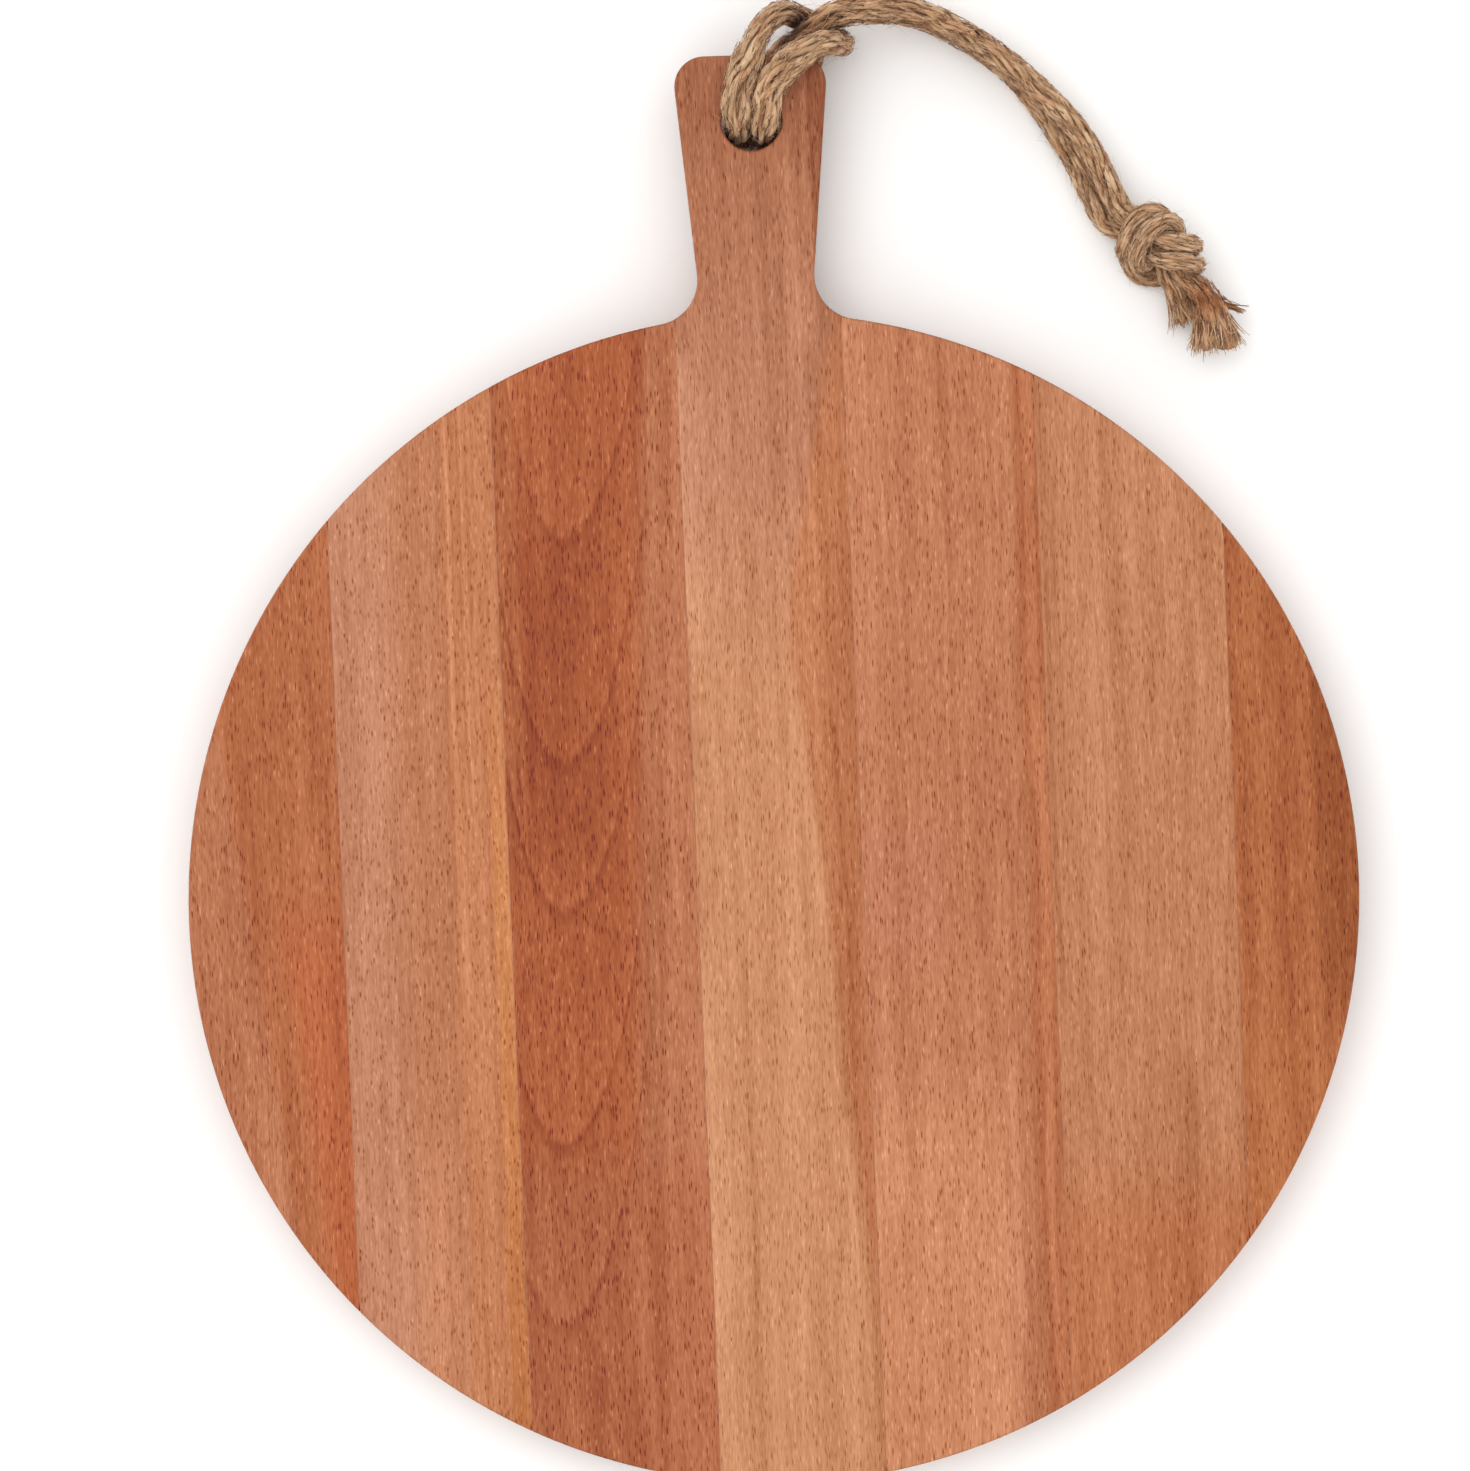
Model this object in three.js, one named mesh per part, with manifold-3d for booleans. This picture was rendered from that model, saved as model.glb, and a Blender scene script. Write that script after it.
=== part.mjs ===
// Round serving board with a handle and a rope loop.
// Seven beech staves are glued edge to edge, and the fourth runs on into the handle.
// A doubled jute rope is hitched through the handle's hole and tied in one knot.
// Millimetres, +Z up. The board lies on a table at Z = 0: its far rim touches the table,
// and the rope that passes under the handle holds the handle up.

import * as THREE from 'three';
import { mergeVertices } from 'three/addons/utils/BufferGeometryUtils.js';
import Module from 'manifold-3d';

const wasm = await Module();
wasm.setup();

// Board
const discDiameter = 350;
const overallLength = 427;
const thickness = 16;
const edgeRound = 2.5;

// Handle: its straight sides widen from the neck to the end
const neckWidth = 35.2;
const neckFromEnd = 64;
const handleEndWidth = 47;
const handleCornerRadius = 9;
const neckFilletRadius = 13.5;
const holeDiameter = 18;
const holeFromEnd = 19.5;

// Glue lines, by their distance from the disc's centre, how far they lean from the handle's axis,
// and which stave, counted from 0, carries the handle
const glueLinePlaces = [-128.7, -78.7, -22.7, 26.9, 83.5, 138.2];
const glueLineLean = THREE.MathUtils.degToRad(0.6);
const glueThickness = 0.2;
const glueClearance = 0.05;
const handleStave = 3;

// Rope
const ropeDiameter = 7.6;
const ropeClearance = 0.3;
const freeRunLength = 67;

// Knot: two wraps lean against each other round its core
const knotLength = 28.6;
const knotDiameter = 22;
const knotOffset = 3.2;
const knotCoreDiameter = 16;
const knotWrapDiameter = 8.8;
const knotWrapFromEnd = 7;
const knotWrapLeans = [24, -17].map(THREE.MathUtils.degToRad);

// Facets
const arcSegments = 6;
const discArcs = 10;
const edgeSegments = 3;
const ropeSides = 10;
const hitchSteps = 66;
const freeRunSteps = 7;
const weldDistance = 1e-4;

// Sizes that follow from these
const discRadius = discDiameter / 2;
const handleEnd = overallLength - discRadius;
const holeY = handleEnd - holeFromEnd;
const lengthMiddle = (handleEnd - discRadius) / 2;
const flatRadius = discRadius - edgeRound;
const tilt = Math.atan2(ropeDiameter + ropeClearance, flatRadius + holeY + ropeDiameter / 2);
const jointWidth = glueThickness + 2 * glueClearance;
const holeFromMiddle = holeY - lengthMiddle;

// The rope's route, knot to knot, from the hole's centre on the table's level: the upper strand, under
// the handle, up through the hole, the left leg, the bight below both strands, the right leg, down
// through the hole, and the lower strand
const ropeRoute = [
  [110.6, -28.6, 9.8], [106.9, -21.8, 9.9], [103, -13, 10.2], [97.4, -4.2, 10.8],
  [91.3, 2.9, 11.4], [83.3, 11, 11.8], [75, 18.2, 11.8], [68.9, 22.6, 11.8],
  [62.1, 26.9, 11.9], [54.8, 30.6, 12.9], [46, 33, 15.9], [38.2, 33.3, 18.4],
  [31.1, 32.6, 19.8], [24.8, 30.9, 20.2], [19.1, 28, 19.5], [14.6, 24.9, 16.3],
  [11.6, 23.7, 10.3], [8.9, 20.7, 4.9], [4, 14.3, 4], [-0.9, 8.5, 4.2],
  [-3.6, 3, 4.9], [-4, -1.1, 7.6], [-4, -2.6, 12], [-4, -2.6, 20],
  [-4, -1.2, 24.2], [-4, 2, 27.2], [-3.6, 6.8, 28.1], [-2.4, 12.6, 28.1],
  [-0.2, 18.2, 28.1], [2.7, 23.5, 27.7], [5.8, 27.7, 26.4], [8.8, 30.4, 23.7],
  [10.8, 32.1, 19.3], [12.5, 32.6, 14.3], [14.9, 32, 9.3], [18, 31.1, 4.9],
  [22, 29.5, 3.9], [25.7, 26.5, 4.6], [28, 24.1, 8.3], [27.7, 22.9, 14],
  [25.9, 22.6, 19.8], [23.1, 21.9, 25], [18.6, 20.2, 28.1], [13, 16.8, 28.1],
  [7.6, 11.4, 28.1], [4.8, 6.2, 27.9], [4.1, 2, 27.2], [4, -1.2, 24.2],
  [4, -2.6, 20], [4, -2.6, 12], [4.1, -1.1, 7.6], [5, 2.8, 4.9],
  [7.7, 6.3, 4.1], [11.5, 10.4, 4], [15.3, 14.6, 4], [18.4, 19.2, 5],
  [19.9, 23.6, 9.4], [21.5, 27.9, 11.8], [25.8, 31.2, 12], [31.9, 32.4, 11.3],
  [38.7, 32.8, 9.7], [46, 32.6, 7.4], [54.8, 30.4, 4.8], [62.1, 26.7, 3.9],
  [68.9, 22.5, 3.9], [74.9, 18, 3.9], [82.4, 10.6, 3.9], [89, 1.4, 3.9],
  [93.6, -6.4, 3.9], [98.6, -15.2, 3.9], [102.4, -24.2, 3.9], [106.3, -31.6, 3.9],
];

// The knot's axis on the table, and its two frayed ends: where each leaves the knot's far face,
// sideways from the axis and above the table, where it ends, and how much wider it is there
const knotDirection = new THREE.Vector3(0.622, -0.783, 0).normalize();
const knotSideways = new THREE.Vector3(0, 0, 1).cross(knotDirection);
const ropeTails = [
  { sideways: -2.4, height: 4.3, end: [129.6, -65.4, 4.5], flare: 1.1 },
  { sideways: 1.2, height: 12.4, end: [138.6, -67.8, 9], flare: 1.25 },
];

const beech = { roughness: 0.55, metalness: 0 };
const jute = { roughness: 0.95, metalness: 0 };
const glue = { roughness: 0.5, metalness: 0 };
const staveColours = ['#b86d49', '#c58462', '#ae613d', '#c98b66', '#bd7958', '#c2825e', '#ae6740'];
const glueColour = '#a87452';
const ropeColour = '#a58363';

// Booleans on closed meshes
function solidOf(geometry) {
  const bare = geometry.clone();
  bare.deleteAttribute('normal');
  bare.deleteAttribute('uv');
  const merged = mergeVertices(bare, weldDistance);
  return new wasm.Manifold(new wasm.Mesh({
    numProp: 3,
    vertProperties: new Float32Array(merged.attributes.position.array),
    triVerts: new Uint32Array(merged.index.array),
  }));
}

function geometryOf(solid) {
  const mesh = solid.getMesh();
  const geometry = new THREE.BufferGeometry();
  geometry.setAttribute('position', new THREE.BufferAttribute(new Float32Array(mesh.vertProperties), 3));
  geometry.setIndex(new THREE.BufferAttribute(new Uint32Array(mesh.triVerts), 1));
  geometry.computeVertexNormals();
  return geometry;
}

function named(name, geometry, colour, finish) {
  const mesh = new THREE.Mesh(geometry, new THREE.MeshStandardMaterial({ color: colour, ...finish }));
  mesh.name = name;
  return mesh;
}

// The outline of disc, neck fillets and handle, counter-clockwise from the right foot of the neck
function boardOutline() {
  const neck = new THREE.Vector2(neckWidth / 2, handleEnd - neckFromEnd);
  const end = new THREE.Vector2(handleEndWidth / 2, handleEnd);
  const along = end.clone().sub(neck).normalize();
  const outward = new THREE.Vector2(along.y, -along.x);

  // The fillet's centre lies one fillet radius off the side and off the disc
  const beside = neck.clone().addScaledVector(outward, neckFilletRadius);
  const reach = discRadius + neckFilletRadius;
  const towards = beside.dot(along);
  const slide = -towards + Math.sqrt(towards ** 2 - beside.lengthSq() + reach ** 2);
  const fillet = beside.addScaledVector(along, slide);
  const foot = Math.atan2(fillet.y, fillet.x);

  // The corner's centre lies one corner radius inside the side and the end
  const inside = neck.clone().addScaledVector(outward, -handleCornerRadius);
  const rise = (handleEnd - handleCornerRadius - inside.y) / along.y;
  const corner = inside.addScaledVector(along, rise);
  const lean = Math.atan2(outward.y, outward.x);

  const outline = new THREE.Shape();
  outline.absarc(fillet.x, fillet.y, neckFilletRadius, foot + Math.PI, lean + Math.PI, true);
  outline.absarc(corner.x, corner.y, handleCornerRadius, lean, Math.PI / 2, false);
  outline.absarc(-corner.x, corner.y, handleCornerRadius, Math.PI / 2, Math.PI - lean, false);
  outline.absarc(-fillet.x, fillet.y, neckFilletRadius, -lean, -foot, true);
  const sweep = (Math.PI + 2 * foot) / discArcs;
  for (let i = 0; i < discArcs; i += 1) {
    const from = Math.PI - foot + i * sweep;
    outline.absarc(0, 0, discRadius, from, from + sweep, false);
  }

  const hole = new THREE.Path();
  hole.absarc(0, holeY, holeDiameter / 2, 0, Math.PI, false);
  hole.absarc(0, holeY, holeDiameter / 2, Math.PI, 2 * Math.PI, false);
  outline.holes.push(hole);
  return outline;
}

// The whole board with its rounded edges, underside at Z = 0, disc centre at the origin
function boardBlank() {
  const blank = new THREE.ExtrudeGeometry(boardOutline(), {
    depth: thickness - 2 * edgeRound,
    curveSegments: arcSegments,
    bevelThickness: edgeRound,
    bevelSize: edgeRound,
    bevelOffset: -edgeRound,
    bevelSegments: edgeSegments,
  });
  return solidOf(blank.translate(0, 0, edgeRound));
}

// A strip of stock between two lines along the grain
function grainStrip(left, right) {
  const strip = new THREE.BoxGeometry(right - left, 2 * overallLength, 2 * thickness);
  strip.translate((left + right) / 2, 0, thickness / 2);
  return solidOf(strip.rotateZ(glueLineLean));
}

// The stock of the handle, from the neck to the end, which is all one piece with its stave
function handleStock() {
  const stock = new THREE.BoxGeometry(handleEndWidth, neckFromEnd, 2 * thickness);
  return solidOf(stock.translate(0, handleEnd - neckFromEnd / 2, thickness / 2));
}

function makeBoard() {
  const board = new THREE.Group();
  const blank = boardBlank();
  const stock = handleStock();
  const sides = [-discDiameter, ...glueLinePlaces, discDiameter];
  staveColours.forEach((colour, i) => {
    const strip = grainStrip(sides[i] + jointWidth / 2, sides[i + 1] - jointWidth / 2);
    const wood = i === handleStave ? strip.add(stock) : strip.subtract(stock);
    board.add(named(`stave_${i + 1}`, geometryOf(blank.intersect(wood)), colour, beech));
  });
  glueLinePlaces.forEach((place, i) => {
    const film = grainStrip(place - glueThickness / 2, place + glueThickness / 2).subtract(stock);
    board.add(named(`glue_line_${i + 1}`, geometryOf(blank.intersect(film)), glueColour, glue));
  });
  board.rotation.x = tilt;
  board.position.set(0, -lengthMiddle, flatRadius * Math.sin(tilt));
  return board;
}

function ropeSection() {
  const section = new THREE.Shape();
  for (let i = 0; i < ropeSides; i += 1) {
    const angle = (2 * Math.PI * i) / ropeSides;
    const corner = [Math.cos(angle) * ropeDiameter / 2, Math.sin(angle) * ropeDiameter / 2];
    if (i === 0) {
      section.moveTo(...corner);
    } else {
      section.lineTo(...corner);
    }
  }
  section.closePath();
  return section;
}

// Part of the rope's route, between two distances from its first end
class Stretch extends THREE.Curve {
  constructor(route, from, to) {
    super();
    this.route = route;
    this.from = from / route.getLength();
    this.to = to / route.getLength();
  }

  getPoint(t, target = new THREE.Vector3()) {
    return this.route.getPointAt(THREE.MathUtils.lerp(this.from, this.to, t), target);
  }
}

function ropeTube(route, from, to, steps) {
  const extrudePath = new Stretch(route, from, to);
  return new THREE.ExtrudeGeometry(ropeSection(), { steps, extrudePath });
}

function knotSolid() {
  const coreRadius = knotCoreDiameter / 2;
  const wrapRadius = knotWrapDiameter / 2;
  let knot = solidOf(new THREE.CylinderGeometry(coreRadius, coreRadius, knotLength, 2 * ropeSides));
  knotWrapLeans.forEach((lean, i) => {
    const wrap = new THREE.TorusGeometry(knotDiameter / 2 - wrapRadius, wrapRadius, ropeSides, 2 * ropeSides);
    wrap.rotateX(Math.PI / 2);
    wrap.rotateZ(lean);
    wrap.translate(0, (2 * i - 1) * (knotLength / 2 - knotWrapFromEnd), 0);
    knot = knot.add(solidOf(wrap));
  });
  return knot;
}

// How far a strand's slanted end face has to stay from the knot's face, along the knot
function seatOf(direction) {
  return ropeClearance + (ropeDiameter / 2) * direction.clone().cross(knotDirection).length();
}

// The knot lies on the table, with its near face against both strands
function knotMiddle(route) {
  const ends = [0, 1].map((t) => ({ point: route.getPoint(t), direction: route.getTangent(t) }));
  const face = Math.max(...ends.map(({ point, direction }) => point.dot(knotDirection) + seatOf(direction)));
  const middle = ends[0].point.add(ends[1].point).multiplyScalar(0.5);
  middle.addScaledVector(knotDirection, face + knotLength / 2 - middle.dot(knotDirection));
  middle.addScaledVector(knotSideways, knotOffset);
  return middle.setZ(knotDiameter / 2);
}

// Turns a shape made along Y to a direction and sets it down at its middle
function lay(mesh, direction, middle) {
  mesh.quaternion.setFromUnitVectors(new THREE.Vector3(0, 1, 0), direction);
  mesh.position.copy(middle);
  return mesh;
}

// A frayed end, wider where its yarns open
function ropeTail(name, knotPlace, { sideways, height, end, flare }) {
  const start = knotPlace.clone().addScaledVector(knotDirection, knotLength / 2);
  start.addScaledVector(knotSideways, sideways).setZ(height);
  const run = new THREE.Vector3(...end).sub(start);
  const direction = run.clone().normalize();
  start.addScaledVector(direction, seatOf(direction) / direction.dot(knotDirection));
  const length = run.length() - seatOf(direction) / direction.dot(knotDirection);
  const radius = ropeDiameter / 2;
  const cone = new THREE.CylinderGeometry(radius * flare, radius, length, ropeSides);
  return lay(named(name, cone, ropeColour, jute), direction, start.addScaledVector(direction, length / 2));
}

function makeRope() {
  const rope = new THREE.Group();
  const route = new THREE.CatmullRomCurve3(ropeRoute.map((point) => new THREE.Vector3(...point)));
  const length = route.getLength();
  const hitchEnd = length - freeRunLength;
  const half = ropeClearance / 2;
  const strand1 = ropeTube(route, 0, freeRunLength - half, freeRunSteps);
  const hitch = ropeTube(route, freeRunLength + half, hitchEnd - half, hitchSteps);
  const strand2 = ropeTube(route, hitchEnd + half, length, freeRunSteps);
  rope.add(named('rope_strand_1', strand1, ropeColour, jute));
  rope.add(named('rope_hitch', hitch, ropeColour, jute));
  rope.add(named('rope_strand_2', strand2, ropeColour, jute));

  const knotPlace = knotMiddle(route);
  const knot = named('rope_knot', geometryOf(knotSolid()), ropeColour, jute);
  rope.add(lay(knot, knotDirection, knotPlace));
  ropeTails.forEach((tail, i) => rope.add(ropeTail(`rope_tail_${i + 1}`, knotPlace, tail)));
  rope.position.y = holeFromMiddle;
  return rope;
}

const servingBoard = new THREE.Group();
servingBoard.add(makeBoard(), makeRope());

export default servingBoard;
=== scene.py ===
import math

import bpy
import numpy as np
from mathutils import Matrix


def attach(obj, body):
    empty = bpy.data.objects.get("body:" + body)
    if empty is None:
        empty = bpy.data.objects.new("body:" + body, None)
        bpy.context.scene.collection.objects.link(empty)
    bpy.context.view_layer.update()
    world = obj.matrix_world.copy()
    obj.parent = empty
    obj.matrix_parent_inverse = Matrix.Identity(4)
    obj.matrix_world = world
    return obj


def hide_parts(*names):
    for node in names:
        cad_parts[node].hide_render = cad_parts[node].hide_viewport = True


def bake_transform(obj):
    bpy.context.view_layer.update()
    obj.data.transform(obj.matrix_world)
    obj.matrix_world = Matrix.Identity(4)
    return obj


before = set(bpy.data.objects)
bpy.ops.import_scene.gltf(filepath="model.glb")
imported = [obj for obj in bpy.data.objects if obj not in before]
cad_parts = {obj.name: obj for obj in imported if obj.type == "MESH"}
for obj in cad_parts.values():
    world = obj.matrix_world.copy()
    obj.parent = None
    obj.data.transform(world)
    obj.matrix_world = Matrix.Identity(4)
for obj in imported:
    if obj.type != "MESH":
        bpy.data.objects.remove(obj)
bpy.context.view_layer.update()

# All lengths below are written in millimetres and turned to metres once, where a mesh or a place is made.
MM = 0.001

# Board, as in the frame: its own axes have the disc's centre at the origin and the underside at zero.
# The solids are rounded by EDGE_ROUND, and the board stands on that edge. EDGE_EASE is the rounding that shows.
DISC_RADIUS = 175.0
HANDLE_END = 252.0
THICKNESS = 16.0
EDGE_ROUND = 2.5
EDGE_EASE = 1.1
NECK_HALF = 17.6
NECK_Y = 188.0
END_HALF = 23.5
CORNER_RADIUS = 9.0
FILLET_RADIUS = 13.5
HOLE_RADIUS = 9.0
HOLE_LIP = 0.9
HOLE_Y = 232.5
HOLE_STEPS = 64
DRILL_REACH = 4.0
GLUE_LINES = (-128.7, -78.7, -22.7, 26.9, 83.5, 138.2)
GRAIN_LEAN = math.radians(0.6)
JOINT_HALF = 0.11
LENGTH_MIDDLE = 38.5
ROPE_DIAMETER = 7.6
ROPE_CLEARANCE = 0.3
FLAT_RADIUS = DISC_RADIUS - EDGE_ROUND
TILT = math.atan2(ROPE_DIAMETER + ROPE_CLEARANCE, FLAT_RADIUS + HOLE_Y + ROPE_DIAMETER / 2)

# The rope's route, knot to knot, over the table
ROPE_ROUTE = [
    (110.6, 165.4, 9.8), (106.9, 172.2, 9.9), (103, 181, 10.2), (97.4, 189.8, 10.8),
    (91.3, 196.9, 11.4), (83.3, 205, 11.8), (75, 212.2, 11.8), (68.9, 216.6, 11.8),
    (62.1, 220.9, 11.9), (54.8, 224.6, 12.9), (46, 227, 15.9), (38.2, 227.3, 18.4),
    (31.1, 226.6, 19.8), (24.8, 224.9, 20.2), (19.9, 221.4, 19.4), (15.7, 218.4, 16.1),
    (12.2, 217.3, 10.3), (8.9, 214.7, 4.9), (4, 208.3, 4), (-0.9, 202.5, 4.2),
    (-3.6, 197, 4.9), (-4, 192.3, 7.5), (-4, 190.7, 12), (-3.8, 191.8, 19.4),
    (-3.8, 193.9, 24.3), (-4, 197, 27.3), (-3.7, 201, 28.1), (-2.4, 206.6, 28.1),
    (-0.2, 212.2, 28.1), (2.3, 217.8, 27.7), (5.2, 222.1, 26.4), (8.3, 224.8, 23.7),
    (10.8, 226.1, 19.3), (12.5, 226.6, 14.3), (14.9, 226, 9.3), (18, 225.1, 4.9),
    (22, 223.5, 3.9), (25.7, 220.5, 4.6), (28, 218.1, 8.3), (27.7, 216.9, 14),
    (25.9, 216.6, 19.8), (23.1, 215.9, 25), (18.6, 214.2, 28.1), (13, 210.8, 28.1),
    (7.6, 205.4, 28.1), (4.8, 200.2, 27.9), (4, 195.5, 27.2), (3.6, 192.1, 24.4),
    (3.5, 190.7, 20), (3.6, 190.6, 12), (4, 192.2, 7.6), (5, 196.8, 4.9),
    (7.7, 200.3, 4.1), (11.5, 204.4, 4), (15.3, 208.6, 4), (18.4, 213.2, 5),
    (19.9, 217.6, 9.4), (21.5, 221.9, 11.8), (25.8, 225.2, 12), (31.9, 226.4, 11.3),
    (38.7, 226.8, 9.7), (46, 226.6, 7.4), (54.8, 224.4, 4.8), (62.1, 220.7, 3.9),
    (68.9, 216.5, 3.9), (74.9, 212, 3.9), (82.4, 204.6, 3.9), (89, 195.4, 3.9),
    (93.6, 187.6, 3.9), (98.6, 178.8, 3.9), (102.4, 169.8, 3.9), (106.3, 162.4, 3.9),
]

# The knot's own axes: along it, across it and up, from its middle
KNOT_MIDDLE = np.array((120.3, 154.2, 11.0))
KNOT_AXES = np.array(((0.622, -0.783, 0.0), (0.783, 0.622, 0.0), (0.0, 0.0, 1.0)))

# Both ends of the rope through the overhand knot and out to their cut ends, in the knot's own axes
TO_TAIL_2 = [
    (-10, 0.6, -0.7), (-6.4, 1.3, 0.3),
    (-3.4, 1.8, 2.8), (-0.2, 2, 4.9), (2.4, 3.5, 7.2), (5.2, 6.1, 7.1), (7.3, 8.2, 4.6),
    (7.9, 8.4, 0.8), (7.2, 6.8, -2.6), (6.4, 4.8, -5.9), (4.9, 2, -8), (3, -1.4, -7.7),
    (2.1, -3.9, -5), (1.9, -6.6, -2.3), (0.1, -7.6, 0.9), (-1.8, -6.1, 3.9), (-3.1, -3.2, 6.1),
    (-4.4, -0.1, 8.1), (-4.4, 3.7, 8.2), (-2.8, 6.8, 6.6), (-0.1, 7.6, 3.9), (2.7, 5.8, 2),
    (5.6, 3.3, 2), (8.9, 1.3, 1.5), (12.4, 0.3, 1.5), (16.2, 1.2, 0.8), (20.1, 1.7, 0.2),
    (24, 0.8, -0.5), (28, -1, -1.2), (32, -3.4, -1.8), (34.6, -5.2, -2),
]
TO_TAIL_1 = [
    (-11.3, -4.3, -5.8), (-7.8, -3.2, -4.7),
    (-4.3, -2.3, -3.5), (-1.5, -2.2, -1), (1.5, -2.1, 1.4), (4.2, -1.8, 4), (6.6, -0.3, 6.5),
    (9.3, 2.2, 7.1), (11.6, 4.5, 5.3), (12.7, 5.5, 1.9), (12.4, 4.5, -1.6), (11.3, 2.2, -4.5),
    (10.2, -0.2, -7.1), (8.5, -3.3, -8.1), (6.3, -6.4, -8.2), (3.2, -8.5, -8.2), (-0.4, -8.5, -7.4),
    (-3, -8.2, -4.7), (-5, -7.6, -1.5), (-6.7, -5.4, 1.1), (-8.2, -3, 3.6), (-9.2, 0.2, 5.1),
    (-8.9, 3.9, 4.7), (-7, 6.4, 2.8), (-4.4, 6.8, 0.2), (-1.7, 5, -1.7), (1.1, 2.7, -2.8),
    (4.2, 0.7, -2.6), (7, -1.9, -2.7), (10.2, -3.3, -2.6), (13.8, -3.9, -3.6), (17.3, -4.9, -4.5),
    (20.9, -6, -5.4), (23, -6.7, -5.9),
]


# Colours

def linear(code, alpha=1.0):
    """An sRGB hex colour as linear red, green, blue and alpha."""
    parts = [int(code[i:i + 2], 16) / 255 for i in (1, 3, 5)]
    return tuple(p / 12.92 if p <= 0.04045 else ((p + 0.055) / 1.055) ** 2.4 for p in parts) + (alpha,)


def node(tree, kind, inputs=(), stops=(), **settings):
    """Adds a node with its settings. Each input is a value or another node's output."""
    made = tree.nodes.new(kind)
    for name, value in settings.items():
        setattr(made, name, value)
    for name, value in dict(inputs).items():
        if isinstance(value, bpy.types.NodeSocket):
            tree.links.new(value, made.inputs[name])
        else:
            made.inputs[name].default_value = value
    for i, (place, code) in enumerate(stops):
        elements = made.color_ramp.elements
        element = elements[i] if i < 2 else elements.new(place)
        element.position = place
        element.color = linear(code)
    return made


def new_material(name):
    """An empty material with its output, and the shader that feeds it."""
    material = bpy.data.materials.new(name)
    material.use_nodes = True
    tree = material.node_tree
    tree.nodes.clear()
    shader = node(tree, "ShaderNodeBsdfPrincipled")
    node(tree, "ShaderNodeOutputMaterial", {"Surface": shader.outputs["BSDF"]})
    return material, tree, shader


# Beech: planed, sanded and oiled. Steamed beech is pinkish brown, each stave its own tone, with short
# dark and light ray flecks all over, streaks along the grain, and a low sheen.
#
# Each stave has its tones and its streaks. A tone or streak lies inside its limits, each written as where it
# begins, where it is full and how far its edge leans across the grain, or None for an edge across the stave.
# All are millimetres along and across the grain.

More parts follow.
